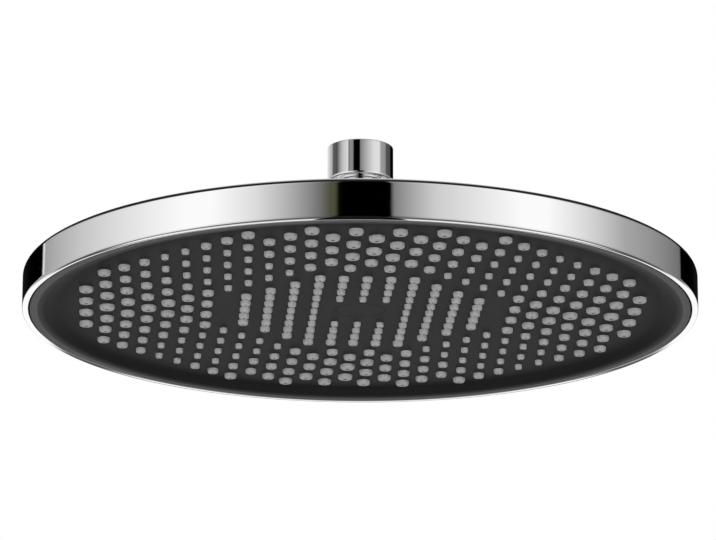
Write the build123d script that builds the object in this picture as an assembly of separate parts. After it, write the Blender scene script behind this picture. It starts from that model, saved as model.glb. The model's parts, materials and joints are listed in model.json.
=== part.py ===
from build123d import *
import math
import os

# Rain shower head, 260 mm across, hung from a wall or ceiling arm by a union nut and a ball joint.
# Millimetres, +Z up. The origin is the centre of the inlet mouth, the top of the union nut.

# Union nut with a G1/2 female thread, drawn at its minor radius
nut_diameter = 25.6
nut_top_round = 0.6
nut_foot_round = 1.5
thread_radius = 9.32
thread_length = 9.0
undercut_depth = 1.08
nut_lip = 1.2

# Ball tail: a spigot inside the nut, a shoulder below it, a neck and the ball
tail_radius = 7.75
tail_end_land = 0.5
shoulder_step = 1.05
shoulder_height = 2.5
shoulder_round = 0.6
neck_radius = 5.6
ball_radius = 10.0
ball_foot_land = 0.8
tail_bore_radius = 3.8
tilt_limit = 15.0

# Sealing and filtering pieces in the tail
washer_thickness = 2.0
filter_brim = 0.3
filter_sheet = 0.5
regulator_radius = 5.0
regulator_height = 3.2
regulator_pocket_depth = 4.4
regulator_orifice_radius = 1.6
regulator_ring_section = 0.7
snap_ring_thickness = 1.2
snap_ring_bearing = 1.1
snap_ring_gap = 3.0
snap_groove_depth = 1.1

# Ball socket: friction ring above the ball, cup and seal below it, collar over the stem
friction_ring_wall = 1.95
friction_ring_foot = 1.2
friction_ring_spare_angle = 2.0
cup_wall = 2.95
cup_top_drop = 1.0
cup_seal_web = 1.2
cup_plenum = 1.3
cup_foot_width = 2.35
ball_seal_section = 1.2
ball_seal_angle = 47.5
collar_lip = 2.5
collar_wall = 2.6
collar_round = 1.6
stem_wall = 1.95
stem_rise = 2.6

# Chromed shell
rim_diameter = 260.0
rim_height = 15.2
rim_wall = 2.65
rim_top_round = 1.8
rim_lip_drop = 0.5
dome_rise = 11.6
dome_wall = 2.5
dome_seat_margin = 3.9
ball_to_dome = 12.2

# Ring nut and washer that clamp the shell to the stem
shell_washer_thickness = 1.0
shell_washer_width = 5.2
shell_nut_height = 4.2
shell_nut_wall = 6.0
shell_nut_round = 1.2

# Face plate with its rounded border step
plate_ring_width = 3.2
plate_step_width = 8.55
plate_step_rise = 2.75
plate_thickness = 2.6
plate_boss_radius = 8.0
plate_boss_rise = 2.0

# Water chamber behind the face plate
cover_flange_thickness = 4.0
cover_flange_width = 18.3
cover_wall = 2.2
chamber_height = 6.6
cover_shoulder_width = 5.0
stem_floor = 3.0
inlet_hole_radius = 2.2
inlet_hole_count = 6
pillar_radius = 4.2
chamber_seal_section = 1.2
chamber_seal_inset = 12.5
distributor_radius = 45.0
distributor_thickness = 2.0
distributor_hole_radius = 2.5
distributor_hole_count = 12
distributor_hole_inset = 9.0

# Fasteners of the face plate
screw_count = 12
screw_inset = 4.5
screw_shank_radius = 1.6
screw_head_radius = 3.0
screw_head_height = 2.0
screw_bite = 3.0
centre_screw_radius = 2.0
centre_screw_bite = 9.0
centre_head_radius = 3.6
centre_head_height = 1.6
screw_seal_thickness = 0.7

# Centre cap, flush with the face
cap_radius = 9.5
cap_thickness = 1.2
cap_spigot_wall = 1.0
cap_spigot_height = 1.0

# Spray nozzles: a square grid in the middle, and a diagonal grid with two pitches around it
pattern_turn = 3.575
inner_pitch = 8.9
inner_field_radius = 49.0
inner_cap_margin = 3.9
inner_first_diameter = 1.95
inner_diameter_growth = 0.39
outer_field_gap = 7.0
outer_edge_margin = 4.3
fine_half_pitch = 7.4
coarse_half_pitch = 8.0
fine_lines = 11
last_line = 19
corner_line = 13
small_nozzle_diameter = 2.9
graded_nozzle_diameter = 3.4
nozzle_grade_step = 0.5
highest_grade = 4
nozzle_height = 2.0
nozzle_tip_share = 0.84
nozzle_sides = 10

# Clearances
lip_clearance = 0.15
snap_clearance = 0.05
washer_clearance = 0.2
pocket_clearance = 0.05
tail_gap = 0.2
ball_clearance = 0.08
tilt_clearance = 0.95
seat_clearance = 0.1
collar_gap = 0.2
plate_gap = 0.3
flange_gap = 1.85
seal_clearance = 0.05
screw_clearance = 0.2
cap_clearance = 0.05

# Inlet, worked down from its mouth at z = 0
nut_radius = nut_diameter / 2
undercut_radius = thread_radius + undercut_depth
lip_radius = tail_radius + lip_clearance
snap_ring_radius = lip_radius + snap_ring_bearing
pocket_radius = regulator_radius + pocket_clearance
washer_bore_radius = pocket_radius + filter_brim
washer_top_z = -thread_length - washer_clearance
tail_top_z = washer_top_z - washer_thickness
groove_top_z = tail_top_z - tail_end_land
groove_foot_z = groove_top_z - snap_ring_thickness - snap_clearance
nut_lip_z = groove_foot_z - snap_clearance
nut_foot_z = nut_lip_z - nut_lip
regulator_foot_z = tail_top_z - regulator_pocket_depth
regulator_top_z = regulator_foot_z + regulator_height
shoulder_radius = tail_radius + shoulder_step
shoulder_top_z = nut_foot_z - tail_gap
shoulder_foot_z = shoulder_top_z - shoulder_height

# The friction ring stops where the neck would reach it at full tilt
tilt = math.radians(tilt_limit)
socket_radius = ball_radius + ball_clearance
ring_edge_angle = math.asin(neck_radius / ball_radius) + tilt + math.radians(friction_ring_spare_angle)
ring_top = socket_radius * math.cos(ring_edge_angle)
ring_edge_radius = socket_radius * math.sin(ring_edge_angle)
ring_radius = ball_radius + friction_ring_wall
collar_top = ring_top + collar_lip
neck_reach = (collar_top + neck_radius * math.sin(tilt)) / math.cos(tilt)
collar_mouth_radius = neck_reach * math.sin(tilt) + neck_radius * math.cos(tilt) + tilt_clearance / 2
neck_length = (collar_top + tilt_clearance + shoulder_radius * math.sin(tilt)) / math.cos(tilt)
ball_z = shoulder_foot_z - neck_length

# The ball seal touches the ball from below, at an angle from the axis
seal_reach = ball_radius + ball_seal_section + seal_clearance
ball_seal_radius = seal_reach * math.sin(math.radians(ball_seal_angle))
ball_seal_z = ball_z - seal_reach * math.cos(math.radians(ball_seal_angle))
seal_seat_z = ball_seal_z - ball_seal_section

# Stem and shell heights
cup_radius = ball_radius + cup_wall
inlet_radius = cup_radius - cup_foot_width
stem_bore_radius = cup_radius + seat_clearance
stem_radius = stem_bore_radius + stem_wall
stem_fit_radius = stem_radius + seat_clearance
stem_top_z = ball_z + stem_rise
plenum_top_z = seal_seat_z - cup_seal_web
stem_floor_z = plenum_top_z - cup_plenum
collar_radius = stem_fit_radius + collar_wall
shell_nut_radius = stem_fit_radius + shell_nut_wall
dome_seat_radius = shell_nut_radius + dome_seat_margin
dome_top_z = ball_z - ball_to_dome
dome_under_z = dome_top_z - dome_wall
rim_radius = rim_diameter / 2
rim_top_z = dome_top_z - dome_rise
face_z = rim_top_z - rim_height
lip_z = face_z - rim_lip_drop
shell_nut_z = dome_top_z + shell_washer_thickness
collar_foot_z = shell_nut_z + shell_nut_height + collar_gap

# Face plate and chamber
shell_inside_radius = rim_radius - rim_wall
plate_radius = shell_inside_radius - plate_gap
cover_flange_radius = shell_inside_radius - flange_gap
cover_wall_radius = cover_flange_radius - cover_flange_width
cover_shoulder_radius = stem_radius + cover_shoulder_width
screw_circle = cover_flange_radius - screw_inset
chamber_seal_radius = cover_flange_radius - chamber_seal_inset
flat_radius = plate_radius - plate_ring_width - plate_step_width
flat_z = face_z + plate_step_rise
plate_top_z = flat_z + plate_thickness
plate_boss_z = plate_top_z + plate_boss_rise
pillar_foot_z = plate_boss_z + distributor_thickness
chamber_roof_z = plate_top_z + chamber_height
cap_top_z = flat_z + cap_thickness
centre_head_z = cap_top_z + centre_head_height
centre_seat_z = centre_head_z + screw_seal_thickness
spigot_radius = centre_head_radius + screw_clearance + cap_spigot_wall


def turned(outline):
    """Solid of revolution about Z of a closed outline drawn as (radius, height)."""
    return revolve(Plane.XZ * make_face(outline), Axis.Z)


def outlined(*points):
    """Solid of revolution of a plain polygon of (radius, height) points."""
    return turned(Polyline(*points, close=True))


def disc(radius, foot, top):
    """Plain round bar on the axis between two heights."""
    return Pos(0, 0, foot) * Cylinder(radius, top - foot, align=(Align.CENTER, Align.CENTER, Align.MIN))


def washer(inner, outer, foot, top):
    """Flat ring on the axis between two heights."""
    return disc(outer, foot, top) - disc(inner, foot, top)


def round_ring(radius, section, height):
    """O-ring on the axis."""
    return Pos(0, 0, height) * Torus(radius, section)


def on_circle(radius, count):
    """Evenly spaced places on a circle about the axis."""
    return PolarLocations(radius, count)


def edges_at(solid, radius, height):
    """Circular edges of a turned solid at a radius and a height."""
    circles = solid.edges().filter_by(GeomType.CIRCLE)
    near_radius = circles.filter_by(lambda edge: abs(edge.radius - radius) < 0.001)
    return near_radius.filter_by(lambda edge: abs(edge.center().Z - height) < 0.001)


def union_nut():
    body = outlined(
        (thread_radius, 0),
        (nut_radius, 0),
        (nut_radius, nut_foot_z),
        (lip_radius, nut_foot_z),
        (lip_radius, nut_lip_z),
        (undercut_radius, nut_lip_z),
        (undercut_radius, -thread_length),
        (thread_radius, -thread_length),
    )
    body = fillet(edges_at(body, nut_radius, 0), nut_top_round)
    return fillet(edges_at(body, nut_radius, nut_foot_z), nut_foot_round)


def ball_tail():
    ball_foot_radius = tail_bore_radius + ball_foot_land
    foot_z = ball_z - math.sqrt(ball_radius**2 - ball_foot_radius**2)
    neck_z = ball_z + math.sqrt(ball_radius**2 - neck_radius**2)
    groove_radius = tail_radius - snap_groove_depth
    sphere = ThreePointArc((ball_foot_radius, foot_z), (ball_radius, ball_z), (neck_radius, neck_z))
    outside = Polyline(
        (neck_radius, neck_z),
        (neck_radius, shoulder_foot_z),
        (shoulder_radius, shoulder_foot_z),
        (shoulder_radius, shoulder_top_z),
        (tail_radius, shoulder_top_z),
        (tail_radius, groove_foot_z),
        (groove_radius, groove_foot_z),
        (groove_radius, groove_top_z),
        (tail_radius, groove_top_z),
        (tail_radius, tail_top_z),
        (pocket_radius, tail_top_z),
        (pocket_radius, regulator_foot_z),
        (tail_bore_radius, regulator_foot_z),
        (tail_bore_radius, foot_z),
        (ball_foot_radius, foot_z),
    )
    body = turned(sphere + outside)
    return fillet(edges_at(body, shoulder_radius, shoulder_foot_z), shoulder_round)


def snap_ring():
    top_z = groove_foot_z + snap_ring_thickness
    ring = washer(tail_radius - snap_groove_depth, snap_ring_radius, groove_foot_z, top_z)
    opening = Box(2 * snap_ring_radius, snap_ring_gap, 4 * snap_ring_thickness)
    return ring - Pos(snap_ring_radius, 0, groove_foot_z) * opening


def inlet_washer():
    return washer(washer_bore_radius, thread_radius - washer_clearance, tail_top_z, washer_top_z)


def filter_screen():
    brim_radius = washer_bore_radius - pocket_clearance
    basket_radius = regulator_radius - filter_sheet
    brim_top_z = tail_top_z + filter_sheet
    basket_z = regulator_top_z + washer_clearance
    basket = disc(basket_radius, basket_z, brim_top_z)
    hollow = disc(basket_radius - filter_sheet, basket_z + filter_sheet, brim_top_z)
    return disc(brim_radius, tail_top_z, brim_top_z) + basket - hollow


def flow_regulator():
    recess_radius = regulator_radius - 2 * regulator_ring_section
    body = washer(regulator_orifice_radius, regulator_radius, regulator_foot_z, regulator_top_z)
    return body - disc(recess_radius, regulator_top_z - 2 * regulator_ring_section, regulator_top_z)


def regulator_seal():
    ring_middle = regulator_radius - 3 * regulator_ring_section - seal_clearance
    return round_ring(ring_middle, regulator_ring_section, regulator_top_z - regulator_ring_section)


def friction_ring():
    foot_radius = math.sqrt(socket_radius**2 - friction_ring_foot**2)
    middle = ring_edge_angle / 2 + math.asin(foot_radius / socket_radius) / 2
    seat = ThreePointArc(
        (foot_radius, ball_z + friction_ring_foot),
        (socket_radius * math.sin(middle), ball_z + socket_radius * math.cos(middle)),
        (ring_edge_radius, ball_z + ring_top),
    )
    back = Polyline(
        (ring_edge_radius, ball_z + ring_top),
        (ring_radius, ball_z + ring_top),
        (ring_radius, ball_z + friction_ring_foot),
        (foot_radius, ball_z + friction_ring_foot),
    )
    return turned(seat + back)


def retaining_collar():
    step_z = stem_top_z + seat_clearance
    body = outlined(
        (stem_fit_radius, collar_foot_z),
        (collar_radius, collar_foot_z),
        (collar_radius, ball_z + collar_top),
        (collar_mouth_radius, ball_z + collar_top),
        (ring_edge_radius + seat_clearance, ball_z + ring_top),
        (ring_radius + seat_clearance, ball_z + ring_top),
        (ring_radius + seat_clearance, step_z),
        (stem_fit_radius, step_z),
    )
    return fillet(edges_at(body, collar_radius, ball_z + collar_top), collar_round)


def ball_cup():
    seal_wall = ball_seal_radius + ball_seal_section + seal_clearance
    body = disc(cup_radius, stem_floor_z, ball_z - cup_top_drop)
    body -= Pos(0, 0, ball_z) * Sphere(socket_radius)
    body -= disc(seal_wall, seal_seat_z, ball_seal_z + ball_seal_section)
    body -= disc(ball_seal_radius - ball_seal_section, plenum_top_z, seal_seat_z)
    return body - disc(inlet_radius, stem_floor_z, plenum_top_z)


def ball_seal():
    return round_ring(ball_seal_radius, ball_seal_section, ball_seal_z)


def shell_washer():
    return washer(stem_fit_radius, stem_fit_radius + shell_washer_width, dome_top_z, shell_nut_z)


def shell_nut():
    top_z = shell_nut_z + shell_nut_height
    body = washer(stem_fit_radius, shell_nut_radius, shell_nut_z, top_z)
    return fillet(edges_at(body, shell_nut_radius, top_z), shell_nut_round)


def dome_drop(radius, depth):
    """Fall of the dome from its flat seat at a radius, on its own arc or an arc inside it."""
    reach = rim_radius - rim_top_round - dome_seat_radius
    arc_radius = (reach**2 + dome_rise**2) / (2 * dome_rise) - depth
    return arc_radius - math.sqrt(arc_radius**2 - (radius - dome_seat_radius) ** 2)


def dome_arc(radius, top, depth):
    """Arc of the dome from its flat seat out to a radius."""
    half = (radius + dome_seat_radius) / 2
    return ThreePointArc(
        (dome_seat_radius, top),
        (half, top - dome_drop(half, depth)),
        (radius, top - dome_drop(radius, depth)),
    )


def shell():
    lip_round = rim_wall / 2
    inner_foot = (shell_inside_radius, lip_z + lip_round)
    lip_foot = (rim_radius - lip_round, lip_z)
    wall_foot = (rim_radius, lip_z + lip_round)
    wall_top = (rim_radius, rim_top_z - rim_top_round)
    shoulder = (rim_radius - rim_top_round, rim_top_z)
    under_radius = shell_inside_radius - rim_top_round
    under = (under_radius, dome_under_z - dome_drop(under_radius, dome_wall))
    corner = (shell_inside_radius, under[1] - rim_top_round)
    outline = ThreePointArc(inner_foot, lip_foot, wall_foot)
    outline += Line(wall_foot, wall_top)
    outline += TangentArc(wall_top, shoulder, tangent=(0, 1))
    outline += dome_arc(shoulder[0], dome_top_z, 0)
    outline += Polyline(
        (dome_seat_radius, dome_top_z),
        (stem_fit_radius, dome_top_z),
        (stem_fit_radius, dome_under_z),
        (dome_seat_radius, dome_under_z),
    )
    outline += dome_arc(under_radius, dome_under_z, dome_wall)
    outline += Polyline(under, corner, inner_foot)
    return turned(outline)


def chamber_cover():
    flange_top_z = plate_top_z + cover_flange_thickness
    roof_top_z = chamber_roof_z + cover_wall
    core_z = pillar_foot_z + centre_screw_bite
    body = outlined(
        (0, stem_floor_z),
        (stem_bore_radius, stem_floor_z),
        (stem_bore_radius, stem_top_z),
        (stem_radius, stem_top_z),
        (stem_radius, dome_under_z),
        (cover_shoulder_radius, dome_under_z),
        (cover_shoulder_radius, roof_top_z),
        (cover_wall_radius, roof_top_z),
        (cover_wall_radius, flange_top_z),
        (cover_flange_radius, flange_top_z),
        (cover_flange_radius, plate_top_z),
        (cover_wall_radius - cover_wall, plate_top_z),
        (cover_wall_radius - cover_wall, chamber_roof_z),
        (inlet_radius, chamber_roof_z),
        (inlet_radius, stem_floor_z - stem_floor),
        (pillar_radius, stem_floor_z - stem_floor),
        (pillar_radius, pillar_foot_z),
        (centre_screw_radius, pillar_foot_z),
        (centre_screw_radius, core_z),
        (0, core_z),
    )
    groove_half = chamber_seal_section + seal_clearance
    groove_top_z = plate_top_z + 2 * groove_half
    body -= washer(chamber_seal_radius - groove_half, chamber_seal_radius + groove_half, plate_top_z, groove_top_z)
    inlet_circle = (pillar_radius + inlet_radius) / 2
    for place in on_circle(inlet_circle, inlet_hole_count):
        body -= place * disc(inlet_hole_radius, stem_floor_z - stem_floor, stem_floor_z)
    for place in on_circle(screw_circle, screw_count):
        body -= place * disc(screw_shank_radius + screw_clearance, plate_top_z, flange_top_z)
    return body


def chamber_seal():
    height = plate_top_z + chamber_seal_section + seal_clearance
    return round_ring(chamber_seal_radius, chamber_seal_section, height)


def distributor_plate():
    hub_bore = centre_screw_radius + screw_clearance
    body = washer(hub_bore, distributor_radius, plate_boss_z, pillar_foot_z)
    for place in on_circle(distributor_radius - distributor_hole_inset, distributor_hole_count):
        body -= place * disc(distributor_hole_radius, plate_boss_z, pillar_foot_z)
    return body


def face_plate():
    step_radius = flat_radius + plate_step_width
    cap_pocket = cap_radius + cap_clearance
    hole = centre_screw_radius + screw_clearance
    spigot_bore = spigot_radius + cap_clearance
    half = (flat_radius + step_radius) / 2
    step = Bezier((step_radius, face_z), (half, face_z), (half, flat_z), (flat_radius, flat_z))
    rest = Polyline(
        (flat_radius, flat_z),
        (cap_pocket, flat_z),
        (cap_pocket, cap_top_z),
        (spigot_bore, cap_top_z),
        (spigot_bore, centre_seat_z),
        (hole, centre_seat_z),
        (hole, plate_boss_z),
        (plate_boss_radius, plate_boss_z),
        (plate_boss_radius, plate_top_z),
        (plate_radius, plate_top_z),
        (plate_radius, face_z),
        (step_radius, face_z),
    )
    body = turned(step + rest)
    for place in on_circle(screw_circle, screw_count):
        body -= place * disc(screw_shank_radius, plate_top_z - screw_bite, plate_top_z)
    return body


def plate_screws():
    head_z = plate_top_z + cover_flange_thickness
    screw = disc(screw_shank_radius, plate_top_z - screw_bite, head_z)
    screw += disc(screw_head_radius, head_z, head_z + screw_head_height)
    return [place * screw for place in on_circle(screw_circle, screw_count)]


def centre_screw():
    shank = disc(centre_screw_radius, cap_top_z, pillar_foot_z + centre_screw_bite)
    return shank + disc(centre_head_radius, cap_top_z, centre_head_z)


def screw_seal():
    return washer(centre_screw_radius + seal_clearance, centre_head_radius, centre_head_z, centre_seat_z)


def centre_cap():
    body = disc(cap_radius, flat_z, cap_top_z)
    return body + washer(spigot_radius - cap_spigot_wall, spigot_radius, cap_top_z, cap_top_z + cap_spigot_height)


def line_offset(index):
    """Distance of a diagonal grid line from the middle: fine pitch first, then the coarser one."""
    steps = abs(index)
    fine = fine_half_pitch * min(steps, fine_lines)
    coarse = coarse_half_pitch * max(steps - fine_lines, 0)
    return math.copysign(fine + coarse, index)


def outer_diameter(first, second):
    """Diameter of an outer nozzle: small along the grid's own axes, larger between them."""
    low, high = sorted((abs(first), abs(second)))
    grade = min(max((low - 3) // 2, 0), highest_grade)
    on_last_line = high == last_line and low >= 3
    on_first_line = high == fine_lines and low >= 5
    on_corner = low == high == corner_line
    if on_last_line or on_first_line or on_corner:
        grade += 1
    if grade == 0:
        return small_nozzle_diameter
    return graded_nozzle_diameter + nozzle_grade_step * grade


def inner_field():
    """Places and diameters of the square grid round the centre cap."""
    reach = int(inner_field_radius / inner_pitch)
    for column in range(-reach, reach + 1):
        for row in range(-reach, reach + 1):
            steps = math.hypot(column, row)
            if cap_radius + inner_cap_margin < steps * inner_pitch < inner_field_radius:
                diameter = inner_first_diameter + inner_diameter_growth * steps
                yield column * inner_pitch, row * inner_pitch, diameter


def outer_field():
    """Places and diameters of the diagonal grid that fills the rest of the flat."""
    start = inner_field_radius + outer_field_gap
    limit = flat_radius - outer_edge_margin
    lines = range(-last_line, last_line + 1, 2)
    for first in lines:
        for second in lines:
            across = (line_offset(first) + line_offset(second)) / 2
            along = (line_offset(first) - line_offset(second)) / 2
            if start < math.hypot(across, along) < limit:
                yield across, along, outer_diameter(first, second)


def nozzle(diameter):
    """One tapered nozzle under its seat at z = 0, with few flat sides because there are hundreds."""
    foot = RegularPolygon(diameter / 2, nozzle_sides)
    tip = RegularPolygon(nozzle_tip_share * diameter / 2, nozzle_sides)
    return loft([foot, Pos(0, 0, -nozzle_height) * tip], ruled=True)


def spray_nozzles():
    places = [*inner_field(), *outer_field()]
    shapes = {diameter: nozzle(diameter) for _, _, diameter in places}
    turn = Rot(0, 0, pattern_turn)
    return [turn * Pos(across, along, flat_z) * shapes[diameter] for across, along, diameter in places]


SUBPARTS = {
    "union_nut": union_nut,
    "snap_ring": snap_ring,
    "inlet_washer": inlet_washer,
    "filter_screen": filter_screen,
    "flow_regulator": flow_regulator,
    "regulator_seal": regulator_seal,
    "ball_tail": ball_tail,
    "friction_ring": friction_ring,
    "retaining_collar": retaining_collar,
    "ball_cup": ball_cup,
    "ball_seal": ball_seal,
    "shell": shell,
    "shell_washer": shell_washer,
    "shell_nut": shell_nut,
    "chamber_cover": chamber_cover,
    "chamber_seal": chamber_seal,
    "distributor_plate": distributor_plate,
    "face_plate": face_plate,
    "spray_nozzles": spray_nozzles,
    "plate_screws": plate_screws,
    "centre_screw": centre_screw,
    "screw_seal": screw_seal,
    "centre_cap": centre_cap,
}

os.makedirs("parts", exist_ok=True)
for name, make in SUBPARTS.items():
    made = make()
    solids = Compound(children=made) if isinstance(made, list) else made
    export_step(solids, f"parts/{name}.step")
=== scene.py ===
import json
import logging
import math
from dataclasses import dataclass
from enum import Enum
from functools import lru_cache
from typing import Iterator, Optional, Union

import bpy
from mathutils import Matrix, Vector


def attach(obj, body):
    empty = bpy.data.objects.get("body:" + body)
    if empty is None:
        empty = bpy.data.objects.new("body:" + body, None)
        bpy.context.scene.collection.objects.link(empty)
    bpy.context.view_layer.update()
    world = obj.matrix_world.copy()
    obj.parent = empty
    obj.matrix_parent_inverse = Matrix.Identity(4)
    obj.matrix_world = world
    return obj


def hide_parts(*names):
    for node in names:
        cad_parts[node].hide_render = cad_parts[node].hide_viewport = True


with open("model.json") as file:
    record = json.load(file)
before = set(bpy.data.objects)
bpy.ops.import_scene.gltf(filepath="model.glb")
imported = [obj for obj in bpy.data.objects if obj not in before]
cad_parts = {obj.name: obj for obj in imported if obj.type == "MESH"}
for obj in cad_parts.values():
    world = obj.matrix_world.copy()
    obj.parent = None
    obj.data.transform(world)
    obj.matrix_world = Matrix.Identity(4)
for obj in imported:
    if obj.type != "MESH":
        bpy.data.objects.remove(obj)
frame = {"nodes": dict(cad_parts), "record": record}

# Looks of a rain shower head seen from below: chromed shell, dark satin face, silicone nozzles,
# and the ball joint with its union nut on top. Sizes are in millimetres until a mesh is made.

log = logging.getLogger("shower_head")
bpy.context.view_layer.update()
MM = 0.001
WELD = 0.0002 * MM
SMOOTH_ANGLE = math.radians(32)
ARC_STEP = math.radians(11)
FEWEST_CHORDS = 3
OUTLET_MARK = "outlet"
WHITE = "#ffffff"
# Colour sockets of a Mix node
FIRST, SECOND, MIXED = 6, 7, 2

Point = tuple[float, float]
Stops = tuple[tuple[float, str], ...]
Tree = bpy.types.NodeTree
Node = bpy.types.Node
Socket = bpy.types.NodeSocket
Piece = bpy.types.Object
Settings = dict[Union[str, int], object]
Links = dict[Union[str, int], Socket]


class Body(Enum):
    """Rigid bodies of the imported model."""

    CONNECTOR = "connector"
    TAIL = "ball_tail"
    HEAD = "head"


class Slot(Enum):
    """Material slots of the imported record."""

    CHROME = "chrome"
    CHROME_SHELL = "chrome_shell"
    FACE = "face"
    NOZZLE = "nozzle"
    SEAL = "seal"
    INNER_PLASTIC = "inner_plastic"
    STEEL = "steel"


def to_linear(hex_colour: str) -> tuple[float, float, float, float]:
    """Turns an sRGB hex value into linear light.

    Args:
        hex_colour: colour such as "#3a3a3a".

    Returns:
        Linear red, green, blue and an alpha of one.
    """
    parts = [int(hex_colour[i : i + 2], 16) / 255 for i in (1, 3, 5)]
    red, green, blue = [p / 12.92 if p <= 0.04045 else ((p + 0.055) / 1.055) ** 2.4 for p in parts]
    return red, green, blue, 1.0


def per_size(millimetres: float) -> float:
    """Scale of a texture whose features are that many millimetres apart."""
    return 1.0 / (millimetres * MM)


def add_node(
    tree: Tree, kind: str, settings: Optional[Settings] = None, links: Optional[Links] = None
) -> Node:
    """Adds a node with its settings and its incoming links.

    Args:
        tree: node tree of a material or the world.
        kind: Blender's name of the node type, after ShaderNode.
        settings: values by socket name, socket number or node property.
        links: sockets to link from, by the name or number of the input.

    Returns:
        The new node.
    """
    node = tree.nodes.new("ShaderNode" + kind)
    for key, value in (settings or {}).items():
        if isinstance(key, int) or key in node.inputs:
            node.inputs[key].default_value = value
        else:
            setattr(node, key, value)
    for key, source in (links or {}).items():
        tree.links.new(source, node.inputs[key])
    return node


def set_ramp(ramp: bpy.types.ColorRamp, stops: Stops) -> None:
    """Fills a colour ramp.

    Args:
        ramp: ramp with Blender's two first stops.
        stops: place from 0 to 1 and hex colour, in rising order.
    """
    while len(ramp.elements) < len(stops):
        ramp.elements.new(1.0)
    for element, (place, colour) in zip(ramp.elements, stops):
        element.position = place
        element.color = to_linear(colour)


@dataclass(frozen=True)
class Finish:
    """A surface finish that is made into one material, with a mottle and a fine relief."""

    name: str
    colour: str
    # Millimetres from one patch or bump to the next, octaves of noise and millimetres of height
    mottle_size: float = 3.0
    mottle_detail: float = 3.0
    relief_size: float = 0.4
    relief_detail: float = 2.0
    relief_height: float = 0.01
    relief_strength: float = 0.4

    def mottle(self, tree: Tree, place: Socket) -> Socket:
        """Adds the finish's uneven patches.

        Args:
            tree: node tree of the material.
            place: Object coordinates.

        Returns:
            The noise, from 0 to 1.
        """
        noise: Settings = {"Scale": per_size(self.mottle_size), "Detail": self.mottle_detail}
        return add_node(tree, "TexNoise", noise, {"Vector": place}).outputs["Fac"]

    def add_relief(self, tree: Tree, shader: Node, place: Socket) -> None:
        """Makes the surface a little uneven through its normal.

        Args:
            tree: node tree of the material.
            shader: its Principled shader.
            place: Object coordinates.
        """
        noise: Settings = {"Scale": per_size(self.relief_size), "Detail": self.relief_detail}
        grain = add_node(tree, "TexNoise", noise, {"Vector": place})
        relief: Settings = {"Strength": self.relief_strength, "Distance": self.relief_height * MM}
        bump = add_node(tree, "Bump", relief, {"Height": grain.outputs["Fac"]})
        tree.links.new(bump.outputs["Normal"], shader.inputs["Normal"])

    def dress(self, tree: Tree, shader: Node, place: Socket) -> None:
        """Adds the finish's own nodes.

        Args:
            tree: node tree of the material.
            shader: its Principled shader.
            place: Object coordinates.
        """
        raise NotImplementedError


@lru_cache(maxsize=None)
def material_of(finish: Finish) -> bpy.types.Material:
    """Makes a finish's material once.

    Args:
        finish: the finish to make.

    Returns:
        The material, the same one at each call.
    """
    material = bpy.data.materials.new(finish.name)
    material.use_nodes = True
    tree = material.node_tree
    shader = tree.nodes["Principled BSDF"]
    shader.inputs["Base Color"].default_value = to_linear(finish.colour)
    coordinates = add_node(tree, "TexCoord")
    finish.dress(tree, shader, coordinates.outputs["Object"])
    return material


@dataclass(frozen=True)
class Metal(Finish):
    """A metal whose polish varies from patch to patch."""

    mottle_low: float = 0.0
    mottle_high: float = 1.0
    least_roughness: float = 0.22
    most_roughness: float = 0.42

    def dress(self, tree: Tree, shader: Node, place: Socket) -> None:
        """Adds the mottle to the roughness."""
        shader.inputs["Metallic"].default_value = 1.0
        spread: Settings = {"From Min": self.mottle_low, "From Max": self.mottle_high}
        spread |= {"To Min": self.least_roughness, "To Max": self.most_roughness}
        roughness = add_node(tree, "MapRange", spread, {"Value": self.mottle(tree, place)})
        tree.links.new(roughness.outputs["Result"], shader.inputs["Roughness"])


@dataclass(frozen=True)
class ChromePlate(Metal):
    """Chromium over polished nickel: a cool mirror with a faint polishing haze and a trace of ripple."""

    mottle_size: float = 5.0
    mottle_detail: float = 4.0
    mottle_low: float = 0.3
    mottle_high: float = 0.7
    least_roughness: float = 0.015
    most_roughness: float = 0.05
    relief_size: float = 16.0
    relief_detail: float = 0.0
    relief_height: float = 0.002
    relief_strength: float = 1.0

    def dress(self, tree: Tree, shader: Node, place: Socket) -> None:
        """Adds the haze to the roughness and the ripple to the normal."""
        super().dress(tree, shader, place)
        self.add_relief(tree, shader, place)


@dataclass(frozen=True)
class Stainless(Metal):
    """Bright rolled stainless steel: a grey metal with fine drawn streaks."""

    mottle_size: float = 0.3
    mottle_detail: float = 2.0
    streak_stretch: float = 0.06

    def dress(self, tree: Tree, shader: Node, place: Socket) -> None:
        """Draws the mottle out into streaks."""
        scale = (1.0, self.streak_stretch, 1.0)
        stretched = add_node(tree, "Mapping", {"Scale": scale}, {"Vector": place})
        super().dress(tree, shader, stretched.outputs["Vector"])


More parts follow.
